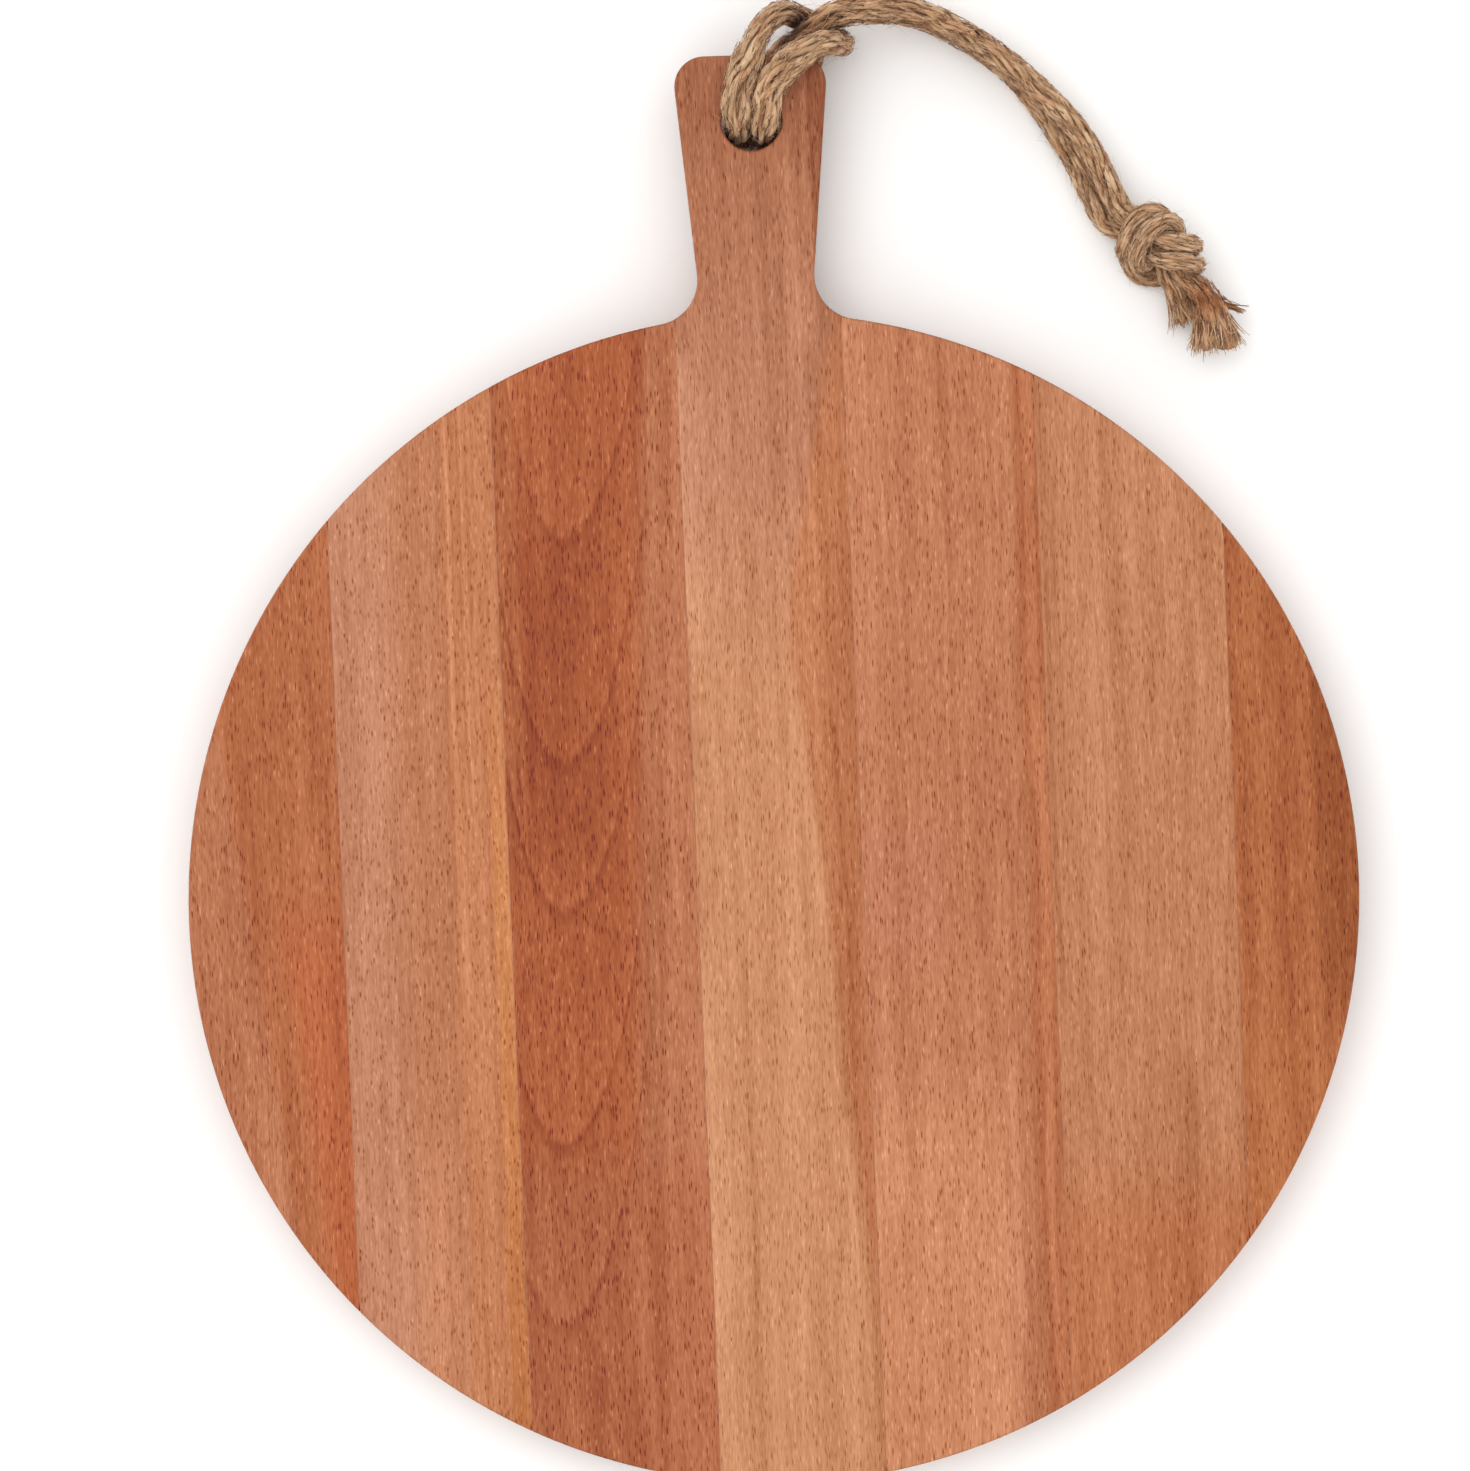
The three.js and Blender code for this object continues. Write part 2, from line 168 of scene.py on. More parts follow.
STAVES = {
    "stave_1": {
        "seed": 3.1, "flecks": 1.0, "fleck": (0.62, 3.4),
        "tones": (("#a25a31", ()), ("#a25f3b", ((-160.0, -163.5, -0.118),)),
                  ("#a6552b", ((-156, -150, -0.118), (-20, -60, None)))),
        "streaks": ((-0.05, ((-160.6, -158.2, -0.118), (-154.5, -157.5, -0.118))),
                    (0.14, ((-171, -169, -0.118), (-163.5, -166, -0.118), (-50, -70, None))),
                    (-0.1, ((-142, -138, 0), (-130, -134, 0), (-20, 0, None)))),
    },
    "stave_2": {
        "seed": 11.7, "flecks": 0.85, "fleck": (0.8, 2.7),
        "tones": (("#ae7252", ()), ("#ac6b46", ((-118, -104, 0),)),
                  ("#ad6a42", ((-95.8, -94.6, 0),)), ("#b77140", ((-84.6, -83.0, 0), (60, -30, None)))),
        "streaks": ((0.16, ((-95.0, -93.8, 0), (-90.5, -92.5, 0), (-84, -49, None))),
                    (0.08, ((-91, -90, 0), (-85.5, -87, 0))),
                    (0.07, ((-81.6, -80.4, 0), (-58, -28, None))),
                    (0.14, ((-93.9, -93.3, 0), (-92.5, -93.1, 0), (-25, 15, None))),
                    (-0.12, ((-92.5, -92.1, 0), (-91.3, -91.9, 0), (-25, 15, None))),
                    (-0.12, ((-90.2, -89.7, 0), (-89.0, -89.5, 0), (-25, 15, None))),
                    (0.12, ((-89.0, -88.5, 0), (-87.7, -88.3, 0), (-25, 15, None))),
                    (-0.12, ((-87.5, -86.9, 0), (-86.2, -86.7, 0), (-25, 15, None))),
                    (0.08, ((-86.2, -85.7, 0), (-85.0, -85.5, 0), (-25, 15, None))),
                    (-0.14, ((-84.5, -83, 0), (-108, -138, None))),
                    (0.08, ((-114, -110, 0), (-96, -99, 0), (-93, -113, None)))),
    },
    "stave_3": {
        "seed": 5.3, "flecks": 1.15, "fleck": (0.62, 3.5),
        "tones": (("#9a4c23", ()), ("#a96138", ((-71, -76, 0), (-40, 20, None))),
                  ("#9f5b37", ((-42.5, -36.5, 0.04), (-190, -110, None))),
                  ("#9a522d", ((-100, -135, None),))),
        "streaks": ((0.04, ((-39, -36.5, 0.04), (-32.5, -34.5, 0.04))),
                    (-0.02, ((-35, -33.4, 0.04), (-31, -32.4, 0.04))),
                    (0.14, ((-31.5, -29, 0.04), (-22, -24, 0))),
                    (-0.14, ((-78, -72, 0), (-48, -54, 0), (-38, -18, None), (85, 55, None))),
                    (-0.16, ((-73, -75.5, 0), (-40, -20, None))),
                    (-0.1, ((-57, -54, 0), (-46, -49, 0), (21, 71, None))),
                    (-0.1, ((-64, -58, 0), (-42, -45, 0), (-163, -188, None)))),
        "rings": (-60.8, 0.04, (71.8, 4.5, -39.8, -109.7, -163.1, -215)),
    },
    "stave_4": {
        "seed": 8.9, "flecks": 0.85, "fleck": (0.6, 3.4),
        "tones": (("#b77b54", ()), ("#ab6f4f", ((10, 105, None),)),
                  ("#b37049", ((10.4, 13.6, -0.0843), (-4.4, -0.6, 0.2))),
                  # The darkest tone, over the handle's end round the hole, is painted shade of the rope that lies
                  # there
                  ("#9f6241", ((100, 175, None),)), ("#965837", ((170, 196, None),))),
        "streaks": ((0.16, ((-15.5, -20, 0), (20, 60, None), (135, 110, None))),
                    (-0.12, ((-11.2, -9.8, 0), (-8, -9.4, 0), (-40, -70, None))),
                    (-0.15, ((17.5, 19.5, -0.03), (24, 21.5, -0.03))),
                    (0.12, ((6.8, 9.2, -0.084), (12.2, 10.4, -0.084), (40, 10, None))),
                    (0.16, ((10.5, 12.5, 0), (19.5, 17.5, 0), (120, 135, None))),
                    (-0.1, ((2.5, 4.5, 0), (10.5, 8, 0), (75, 95, None))),
                    (-0.2, ((21.6, 23.8, -0.021), (-58, -18, None))),
                    (-0.14, ((15.6, 16.8, -0.05), (19.6, 18.4, -0.05), (-8, 12, None), (131, 111, None))),
                    (-0.16, ((11.0, 12.2, -0.067), (14.6, 13.3, -0.067), (-73, -98, None))),
                    (0.12, ((-10, -13, 0), (-38, -68, None), (-173, -148, None))),
                    (-0.12, ((11, 14, -0.03), (22, 18, -0.03), (30, 0, None), (-125, -95, None)))),
    },
    "stave_5": {
        "seed": 14.2, "flecks": 1.0, "fleck": (0.62, 3.3),
        "tones": (("#ac6a46", ()), ("#bb7a54", ((-80, -125, None), (70, 62, 0))),
                  ("#a35d36", ((74.5, 77.5, 0),)), ("#aa6847", ((-10, -25, None), (-70, -45, None), (56, 48, 0)))),
        "streaks": ((0.2, ((67.6, 68.6, 0), (71.2, 70.2, 0), (-80, -96, None), (-182, -160, None))),
                    (-0.06, ((71.2, 72.2, 0), (76.5, 73.7, 0), (-75, -95, None))),
                    (0.1, ((37, 33, 0), (11, 46, None))),
                    (-0.13, ((63.5, 66, 0), (71.5, 69, 0), (-38, -23, None), (36, 16, None))),
                    (0.12, ((57, 59, 0), (64, 62, 0), (-50, -65, None), (-110, -90, None))),
                    (-0.14, ((53.5, 55, 0), (58, 56, 0), (-60, -20, None))),
                    (-0.09, ((80.5, 82, 0), (85, 83, 0), (5, 25, None), (100, 80, None))),
                    (0.12, ((78.2, 79.4, 0), (82.5, 81, 0))),
                    (-0.1, ((68.5, 70.5, 0), (80, 78, 0), (10, -25, None)))),
    },
    "stave_6": {
        "seed": 17.6, "flecks": 0.8, "fleck": (0.62, 3.3),
        "tones": (("#ae704b", ()), ("#ab6d47", ((121.5, 125.5, 0.03),)), ("#ab653c", ((-110, -150, None),))),
        "streaks": ((-0.2, ((83.0, 83.8, 0), (86, 84.6, 0), (-90, -60, None))),
                    (-0.09, ((103.5, 105.5, 0), (110.5, 108.5, 0), (-90, -110, None))),
                    (0.12, ((88.5, 91, 0), (97, 94.5, 0), (-110, -130, None))),
                    (-0.24, ((111.5, 115, 0), (127, 120, 0), (-83, -106, None))),
                    (-0.1, ((113.5, 115.5, 0), (121, 118.5, 0), (-28, -43, None), (-108, -88, None))),
                    (-0.16, ((136.2, 137.4, 0), (11, -13, None))),
                    (0.08, ((116, 119, 0.03), (124, 121, 0.03))),
                    (0.1, ((127, 131, 0), (136, 133, 0), (-84, -100, None), (-132, -116, None)))),
    },
    "stave_7": {
        "seed": 21.4, "flecks": 0.95, "fleck": (0.62, 3.5),
        # The tone that darkens towards the right edge is partly the wood's own and partly painted shade along the
        # rounded rim
        "tones": (("#9e572c", ()), ("#894418", ((155, 169, 0),)), ("#a45d30", ((-60, -100, None),))),
        "streaks": ((0.05, ((143.5, 145.5, 0), (150, 148.5, 0))), (-0.06, ((150, 151.5, 0), (154.5, 153, 0)))),
    },
}


# Dark, middle and light wood: where each is on the scale of tones, and its steps in red, green and blue
WOOD_STEPS = ((0, (-42, -48, -62)), (0.5, (0, 0, 0)), (1, (36, 36, 36)))

# The grain's noises, each with its weight, its size across, along and into the wood, and its detail:
# streaks 6 mm and 1.2 mm wide, and the short dashes of the cut pores
GRAIN_NOISES = ((0.55, (6, 190, 9), 2), (0.42, (1.2, 30, 3), 2), (0.62, (0.5, 4, 2), 1))
MIDDLE_TONE = 0.55
WANDER = 5
WANDER_SIZE = (30, 110, 30)
LIGHT_FLECK = 0.4
DARK_FLECK = -0.64

# A ring's arc rises with the square of the distance from its middle, and a little faster far out
ARC_RISE = 0.115
ARC_RISE_FAR = 0.00006
ARC_ABOVE_FIRST = 80
ARC_WEIGHT = 0.85
ARC_LIMITS = ((-32, -42, 0.04),)


def tone_stops(code):
    """The dark, middle and light tone of a wood, as stops, from its middle."""
    middle = [int(code[i:i + 2], 16) for i in (1, 3, 5)]
    return [(place, "#" + "".join(f"{min(255, max(0, part + step)):02x}" for part, step in zip(middle, steps)))
            for place, steps in WOOD_STEPS]


def within(tree, axes, limits):
    """How far a place is inside all the limits."""
    share = None
    for begins, full, lean in limits:
        measured = axes.outputs["Y"] if lean is None else node(tree, "ShaderNodeMath", {
            0: axes.outputs["Y"], 1: -lean, 2: axes.outputs["X"]}, operation="MULTIPLY_ADD").outputs[0]
        inside = node(tree, "ShaderNodeMapRange", {
            "Value": measured, "From Min": begins, "From Max": full}, interpolation_type="SMOOTHSTEP")
        share = inside.outputs["Result"] if share is None else node(tree, "ShaderNodeMath", {
            0: inside.outputs["Result"], 1: share}, operation="MULTIPLY").outputs[0]
    return share


def beech(name, look):
    """One stave's wood, on places in millimetres along and across the grain."""
    material, tree, shader = new_material(f"oiled_steamed_beech_{name}")
    place = node(tree, "ShaderNodeTexCoord")
    grain = node(tree, "ShaderNodeMapping", {
        "Vector": place.outputs["Object"], "Rotation": (0, 0, -GRAIN_LEAN), "Scale": (1000, 1000, 1000)})

    # A slow wander carries every line of the grain a little to and fro
    wander = node(tree, "ShaderNodeTexNoise", {
        "Vector": node(tree, "ShaderNodeMapping", {
            "Vector": grain.outputs["Vector"], "Location": (look["seed"], 0, 0),
            "Scale": [1 / part for part in WANDER_SIZE]}).outputs["Vector"],
        "Scale": 1, "Detail": 2})
    shift = node(tree, "ShaderNodeVectorMath", {
        0: node(tree, "ShaderNodeVectorMath", {
            0: wander.outputs["Color"], 1: (0.5, 0.5, 0.5)}, operation="SUBTRACT").outputs["Vector"],
        1: (WANDER, 0, WANDER), 2: grain.outputs["Vector"]}, operation="MULTIPLY_ADD")
    axes = node(tree, "ShaderNodeSeparateXYZ", {"Vector": shift.outputs["Vector"]})

    tone = MIDDLE_TONE - sum(weight for weight, _, _ in GRAIN_NOISES) / 2
    layers = []
    for i, (weight, size, detail) in enumerate(GRAIN_NOISES):
        layers.append(node(tree, "ShaderNodeTexNoise", {
            "Vector": node(tree, "ShaderNodeMapping", {
                "Vector": shift.outputs["Vector"], "Location": (7 * i, look["seed"], 3 * look["seed"]),
                "Scale": [1 / part for part in size]}).outputs["Vector"],
            "Scale": 1, "Detail": detail, "Roughness": 0.6}).outputs["Fac"])
        tone = node(tree, "ShaderNodeMath", {
            0: layers[-1], 1: weight, 2: tone}, operation="MULTIPLY_ADD").outputs[0]

    # Ray flecks, each somewhere between light and dark
    wide, long = look["fleck"]
    cells = node(tree, "ShaderNodeTexVoronoi", {
        "Vector": node(tree, "ShaderNodeMapping", {
            "Vector": shift.outputs["Vector"], "Location": (look["seed"], look["seed"], 0),
            "Scale": (1 / wide, 1 / long, 1 / 2)}).outputs["Vector"],
        "Scale": 1, "Randomness": 1})
    drawn = node(tree, "ShaderNodeSeparateColor", {"Color": cells.outputs["Color"]})
    strength = node(tree, "ShaderNodeMapRange", {
        "Value": drawn.outputs["Red"], "To Min": LIGHT_FLECK * look["flecks"],
        "To Max": DARK_FLECK * look["flecks"]})
    spot = node(tree, "ShaderNodeMapRange", {
        "Value": cells.outputs["Distance"], "From Min": 0.5, "From Max": 0.15}, interpolation_type="SMOOTHSTEP")
    tone = node(tree, "ShaderNodeMath", {
        0: spot.outputs["Result"], 1: strength.outputs["Result"], 2: tone}, operation="MULTIPLY_ADD").outputs[0]

    for weight, limits in look["streaks"]:
        tone = node(tree, "ShaderNodeMath", {
            0: within(tree, axes, limits), 1: weight, 2: tone}, operation="MULTIPLY_ADD").outputs[0]

    # Cathedral arcs: each year's ring ends in a dark line, with its palest wood just above and its deepest below
    if "rings" in look:
        middle, lean, feet = look["rings"]
        across = node(tree, "ShaderNodeMath", {
            0: axes.outputs["Y"], 1: -lean, 2: axes.outputs["X"]}, operation="MULTIPLY_ADD")
        across = node(tree, "ShaderNodeMath", {0: across.outputs[0], 1: middle}, operation="SUBTRACT")
        square = node(tree, "ShaderNodeMath", {
            0: across.outputs[0], 1: across.outputs[0]}, operation="MULTIPLY")
        bend = node(tree, "ShaderNodeMath", {
            0: square.outputs[0], 1: ARC_RISE_FAR, 2: ARC_RISE}, operation="MULTIPLY_ADD")
        rise = node(tree, "ShaderNodeMath", {0: square.outputs[0], 1: bend.outputs[0]}, operation="MULTIPLY")
        height = node(tree, "ShaderNodeMath", {0: axes.outputs["Y"], 1: rise.outputs[0]}, operation="SUBTRACT")
        height = node(tree, "ShaderNodeMath", {
            0: layers[2], 1: 4, 2: height.outputs[0]}, operation="MULTIPLY_ADD")
        low, high = feet[-1], feet[0] + ARC_ABOVE_FIRST
        along = node(tree, "ShaderNodeMapRange", {
            "Value": height.outputs[0], "From Min": low + 2, "From Max": high + 2})
        stops = []
        for foot, above in zip(feet[::-1], feet[-2::-1] + (high,)):
            stops += [(foot - 0.8, "#2c2c2c"), (foot + 2, "#a8a8a8"), (foot + 8, "#989898"), (above - 5, "#888888")]
        shade = node(tree, "ShaderNodeValToRGB", {"Fac": along.outputs["Result"]}, stops=[
            ((place - low) / (high - low), code) for place, code in stops[1:-1]])
        fades = node(tree, "ShaderNodeMath", {
            0: node(tree, "ShaderNodeMath", {
                0: shade.outputs["Color"], 1: 0.28}, operation="SUBTRACT").outputs[0],
            1: within(tree, axes, ARC_LIMITS)}, operation="MULTIPLY")
        tone = node(tree, "ShaderNodeMath", {
            0: fades.outputs[0], 1: ARC_WEIGHT, 2: tone}, operation="MULTIPLY_ADD").outputs[0]

    colour = None
    for middle, limits in look["tones"]:
        tinted = node(tree, "ShaderNodeValToRGB", {"Fac": tone}, stops=tone_stops(middle)).outputs["Color"]
        colour = tinted if colour is None else node(tree, "ShaderNodeMix", {
            0: within(tree, axes, limits), 6: colour, 7: tinted}, data_type="RGBA").outputs[2]

    # End grain drinks more oil and is darker
    facing = node(tree, "ShaderNodeSeparateXYZ", {"Vector": place.outputs["Normal"]})
    end_grain = node(tree, "ShaderNodeMapRange", {
        "Value": node(tree, "ShaderNodeMath", {0: facing.outputs["Y"]}, operation="ABSOLUTE").outputs[0],
        "From Min": 0.35, "From Max": 1.0, "To Min": 1.0, "To Max": 0.72})
    colour = node(tree, "ShaderNodeVectorMath", {
        0: colour, "Scale": end_grain.outputs["Result"]}, operation="SCALE").outputs["Vector"]
    gloss = node(tree, "ShaderNodeMapRange", {
        "Value": layers[1], "From Min": 0.3, "From Max": 0.7, "To Min": 0.46, "To Max": 0.58})
    relief = node(tree, "ShaderNodeBump", {"Height": tone, "Strength": 0.12, "Distance": 0.0002})
    tree.links.new(colour, shader.inputs["Base Color"])
    tree.links.new(gloss.outputs["Result"], shader.inputs["Roughness"])
    tree.links.new(relief.outputs["Normal"], shader.inputs["Normal"])
    shader.inputs["IOR"].default_value = 1.45
    shader.inputs["Specular IOR Level"].default_value = 0.3
    return material


def glue_film():
    """Wood glue set hard in the joint: a thin amber-brown line, hardly darker than the wood."""
    material, tree, shader = new_material("set_wood_glue")
    place = node(tree, "ShaderNodeTexCoord")
    patches = node(tree, "ShaderNodeTexNoise", {
        "Vector": node(tree, "ShaderNodeMapping", {
            "Vector": place.outputs["Object"], "Scale": (1000, 1000 / 18, 1000)}).outputs["Vector"],
        "Scale": 1, "Detail": 2})
    colour = node(tree, "ShaderNodeValToRGB", {"Fac": patches.outputs["Fac"]},
                  stops=((0.3, "#8f5335"), (0.7, "#b57654")))
    tree.links.new(colour.outputs["Color"], shader.inputs["Base Color"])
    shader.inputs["Roughness"].default_value = 0.5
    return material


def jute_rope():
    """Laid jute: dry, matt plant fibre. Each yarn has its own tan, warmer in patches, and the grooves get painted
    shade.
    """
    material, tree, shader = new_material("laid_jute")
    along = node(tree, "ShaderNodeUVMap", uv_map="yarn")
    tone, warm, depth = (node(tree, "ShaderNodeAttribute", attribute_name=key).outputs["Fac"]
                         for key in ("tone", "warm", "depth"))

    # Fibres about 0.6 mm wide and 5 mm long on the yarn's own length, with a dark gap here and there
    fibres = node(tree, "ShaderNodeTexNoise", {
        "Vector": node(tree, "ShaderNodeMapping", {
            "Vector": along.outputs["UV"], "Scale": (1 / 0.6, 1 / 5, 1)}).outputs["Vector"],
        "Scale": 1, "Detail": 3, "Roughness": 0.65}).outputs["Fac"]
    shade = node(tree, "ShaderNodeMath", {0: fibres, 1: 1.2, 2: -0.6}, operation="MULTIPLY_ADD").outputs[0]
    # Deeper in the rope the colour is darker: painted shade in the grooves between yarns and strands. The fibres'
    # noise adds dark gaps of their own.
    for value, low, high, least, most in ((depth, 0.62, 0.9, -0.26, 0.04), (fibres, 0.34, 0.46, -0.3, 0.04)):
        share = node(tree, "ShaderNodeMapRange", {
            "Value": value, "From Min": low, "From Max": high, "To Min": least, "To Max": most})
        shade = node(tree, "ShaderNodeMath", {0: share.outputs["Result"], 1: shade}, operation="ADD").outputs[0]
    shade = node(tree, "ShaderNodeMath", {0: tone, 1: shade}, operation="ADD").outputs[0]
    plain, orange = (node(tree, "ShaderNodeValToRGB", {"Fac": shade}, stops=stops).outputs["Color"] for stops in (
        ((0.0, "#66452a"), (0.3, "#9b7653"), (0.55, "#bd9872"), (0.8, "#d4b28d"), (1.0, "#e2c8a8")),
        ((0.0, "#5e3214"), (0.3, "#9c6236"), (0.55, "#c3885b"), (0.8, "#d8aa82"), (1.0, "#e3be9c"))))
    colour = node(tree, "ShaderNodeMix", {0: warm, 6: plain, 7: orange}, data_type="RGBA")
    relief = node(tree, "ShaderNodeBump", {"Height": fibres, "Strength": 0.5, "Distance": 0.0003})
    tree.links.new(colour.outputs[2], shader.inputs["Base Color"])
    tree.links.new(relief.outputs["Normal"], shader.inputs["Normal"])
    shader.inputs["Roughness"].default_value = 0.92
    shader.inputs["Sheen Weight"].default_value = 0.15
    return material


# Board

def alone(piece):
    """Makes one piece the only one that is selected."""
    bpy.ops.object.select_all(action="DESELECT")
    piece.select_set(True)
    bpy.context.view_layer.objects.active = piece


def finish_modifier(piece, name, kind, **settings):
    """Adds a modifier with its settings and applies it."""
    modifier = piece.modifiers.new(name, kind)
    for key, value in settings.items():
        setattr(modifier, key, value)
    alone(piece)
    bpy.ops.object.modifier_apply(modifier=name)


def hole_drill():
    """The shape that the drill and its countersinks take away, spun from half its section."""
    eased = [(HOLE_RADIUS + HOLE_LIP * (1 - math.cos(a)), HOLE_LIP * (1 - math.sin(a)))
             for a in np.radians((70, 50, 30, 15, 0))]
    above = [(0, -DRILL_REACH), (HOLE_RADIUS + 1.2 * HOLE_LIP, -DRILL_REACH)] + eased
    section = above + [(r, THICKNESS - z) for r, z in reversed(above)]
    bpy.ops.object.select_all(action="DESELECT")
    bpy.ops.mesh.primitive_plane_add(size=10 * MM)
    drill = bpy.context.object
    bpy.ops.object.mode_set(mode="EDIT")
    bpy.ops.mesh.select_mode(type="VERT")
    bpy.ops.mesh.merge(type="CENTER")
    bpy.ops.transform.translate(value=(section[0][0] * MM, HOLE_Y * MM, section[0][1] * MM))
    for (r, z), (wider, higher) in zip(section, section[1:]):
        bpy.ops.mesh.extrude_region_move(
            TRANSFORM_OT_translate={"value": ((wider - r) * MM, 0, (higher - z) * MM)})
    bpy.ops.mesh.select_all(action="SELECT")
    bpy.ops.mesh.spin(steps=HOLE_STEPS, angle=2 * math.pi, center=(0, HOLE_Y * MM, 0), axis=(0, 0, 1))
    bpy.ops.mesh.select_all(action="SELECT")
    bpy.ops.mesh.remove_doubles(threshold=1e-6)
    bpy.ops.mesh.normals_make_consistent(inside=False)
    bpy.ops.object.mode_set(mode="OBJECT")
    return drill


def board_blank():
    """The whole board before it is parted into staves: outline, thickness, hole and rounded edges."""
    side = math.atan2(END_HALF - NECK_HALF, HANDLE_END - NECK_Y)
    along = np.array((math.sin(side), math.cos(side)))
    outward = np.array((along[1], -along[0]))
    neck = np.array((NECK_HALF, NECK_Y))
    beside = neck + FILLET_RADIUS * outward
    towards = beside @ along
    fillet = beside + along * (math.sqrt(
        towards ** 2 - beside @ beside + (DISC_RADIUS + FILLET_RADIUS) ** 2) - towards)
    foot = math.atan2(fillet[1], fillet[0])
    inside = neck - CORNER_RADIUS * outward
    corner = inside + along * (HANDLE_END - CORNER_RADIUS - inside[1]) / along[1]

    # The right half of the outline, from the disc's lowest point to the middle of the handle's end
    bpy.ops.object.select_all(action="DESELECT")
    bpy.ops.mesh.primitive_plane_add(size=10 * MM)
    blank = bpy.context.object
    bpy.ops.object.mode_set(mode="EDIT")
    bpy.ops.mesh.merge(type="CENTER")
    bpy.ops.transform.translate(value=(0, -DISC_RADIUS * MM, 0))
    bpy.ops.mesh.spin(steps=150, angle=-(math.pi / 2 + foot), center=(0, 0, 0), axis=(0, 0, 1))
    bpy.ops.mesh.spin(
        steps=18, angle=foot + side, axis=(0, 0, 1),
        center=(fillet[0] * MM, fillet[1] * MM, 0))
    straight = (corner + CORNER_RADIUS * outward) - (fillet - FILLET_RADIUS * outward)
    bpy.ops.mesh.extrude_region_move(
        TRANSFORM_OT_translate={"value": (straight[0] * MM, straight[1] * MM, 0)})
    bpy.ops.mesh.spin(
        steps=16, angle=-(math.pi / 2 + side), axis=(0, 0, 1),
        center=(corner[0] * MM, corner[1] * MM, 0))
    bpy.ops.mesh.extrude_region_move(TRANSFORM_OT_translate={"value": (-corner[0] * MM, 0, 0)})
    bpy.ops.object.mode_set(mode="OBJECT")
    finish_modifier(blank, "other_half", "MIRROR", use_axis=(True, False, False), merge_threshold=1e-5)

    bpy.ops.object.mode_set(mode="EDIT")
    bpy.ops.mesh.select_all(action="SELECT")
    bpy.ops.mesh.remove_doubles(threshold=1e-6)
    bpy.ops.mesh.edge_face_add()
    bpy.ops.mesh.extrude_region_move(TRANSFORM_OT_translate={"value": (0, 0, THICKNESS * MM)})
    bpy.ops.mesh.select_all(action="SELECT")
    bpy.ops.mesh.normals_make_consistent(inside=False)

    # Every sharp edge of the outline is rounded
    bpy.ops.mesh.select_mode(type="EDGE")
    bpy.ops.mesh.select_all(action="DESELECT")
    bpy.ops.mesh.edges_select_sharp(sharpness=math.radians(60))
    bpy.ops.mesh.bevel(offset=EDGE_EASE * MM, segments=4, profile=0.5, clamp_overlap=False)
    bpy.ops.object.mode_set(mode="OBJECT")

    # The hanging hole is drilled through with its two lips eased
    drill = hole_drill()
    finish_modifier(blank, "hanging_hole", "BOOLEAN", operation="DIFFERENCE", object=drill, solver="EXACT")
    bpy.data.objects.remove(drill)
    return blank


def part_stave(blank, name, left, right):
    """One stave, cut from the blank between two lines along the grain and laid as it rests."""
    stave = blank.copy()
    stave.data = blank.data.copy()
    stave.name = name
    bpy.context.collection.objects.link(stave)
    alone(stave)
    across = (math.cos(GRAIN_LEAN), math.sin(GRAIN_LEAN), 0)
    for place, drop in ((left, "clear_inner"), (right, "clear_outer")):
        if place is not None:
            bpy.ops.object.mode_set(mode="EDIT")
            bpy.ops.mesh.select_all(action="SELECT")
            bpy.ops.mesh.bisect(
                plane_co=(place * MM * across[0], place * MM * across[1], 0), plane_no=across,
                use_fill=True, **{drop: True})
            bpy.ops.object.mode_set(mode="OBJECT")
    stave.matrix_world = Matrix.Translation(
        (0, -LENGTH_MIDDLE * MM, FLAT_RADIUS * math.sin(TILT) * MM)) @ Matrix.Rotation(TILT, 4, "X")
    bpy.ops.object.transform_apply(location=True, rotation=True, scale=True)
    bpy.ops.object.shade_smooth_by_angle(angle=math.radians(40))
    finish_modifier(stave, "flat_faces", "WEIGHTED_NORMAL", keep_sharp=True)
    return stave


def make_board():
    """The seven staves in their woods, with the frame's own glue lines between them."""
    blank = board_blank()
    sides = (None,) + GLUE_LINES + (None,)
    for i, (name, look) in enumerate(STAVES.items()):
        left = None if sides[i] is None else sides[i] + JOINT_HALF
        right = None if sides[i + 1] is None else sides[i + 1] - JOINT_HALF
        stave = part_stave(blank, f"{name}_wood", left, right)
        stave.data.materials.clear()
        stave.data.materials.append(beech(name, look))
        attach(stave, "board")
        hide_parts(name)
    bpy.data.objects.remove(blank)
    glue = glue_film()
    for i in range(len(GLUE_LINES)):
        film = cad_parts[f"glue_line_{i + 1}"]
        film.data.materials.clear()
        film.data.materials.append(glue)


# Rope

ROPE_RADIUS = 4.1
STRAND_LAY = 32.0
YARN_LAY = 17.0
YARNS = 9
YARN_SIDES = 6
YARN_STEP = 1.0
FIBRE_POINTS = 4
FIBRE_SIDES = 3
FIBRE_WARMTH = 0.35

# Loose fibres: how many stand and lie on each millimetre, in the wisp on a tail and in the dark tuft in the hole
STANDING = 3
LYING = 14
WISP_FIBRES = 44
TUFT_AND_SHADE_FIBRES = 1200

# How far along the knot's axis the tails open, how thick the rope is inside the knot and at its cut ends, and
# how much wider than high it is where it lies pressed on the handle's front
OPENS_AT = 13
KNOT_SHARE = 0.75
END_SHARE = 0.84
PRESSED = 0.34


def on_table(points):
    """Places in the knot's own axes, as places over the table."""
    return KNOT_MIDDLE + np.array(points) @ KNOT_AXES


# Where the rope's colour is changed, how far that reaches, and how much darker and warmer it is there:
# rust on a tail, painted shade deep inside the hitch, and painted light that makes the knot paler
STAINS_AND_PAINTED_LIGHT = (
    (on_table((22.8, 1.5, 3)), 4, 0.36, 1.2),
    # Painted shade: the strand deep in the hitch, darker and a little warmer
    ((16, 219, 15), 5.5, 0.75, 0.2),
    # Painted light: the knot is made paler than the rest of the rope
    (on_table((2, 0, 4)), 9, -0.1, 0),
)


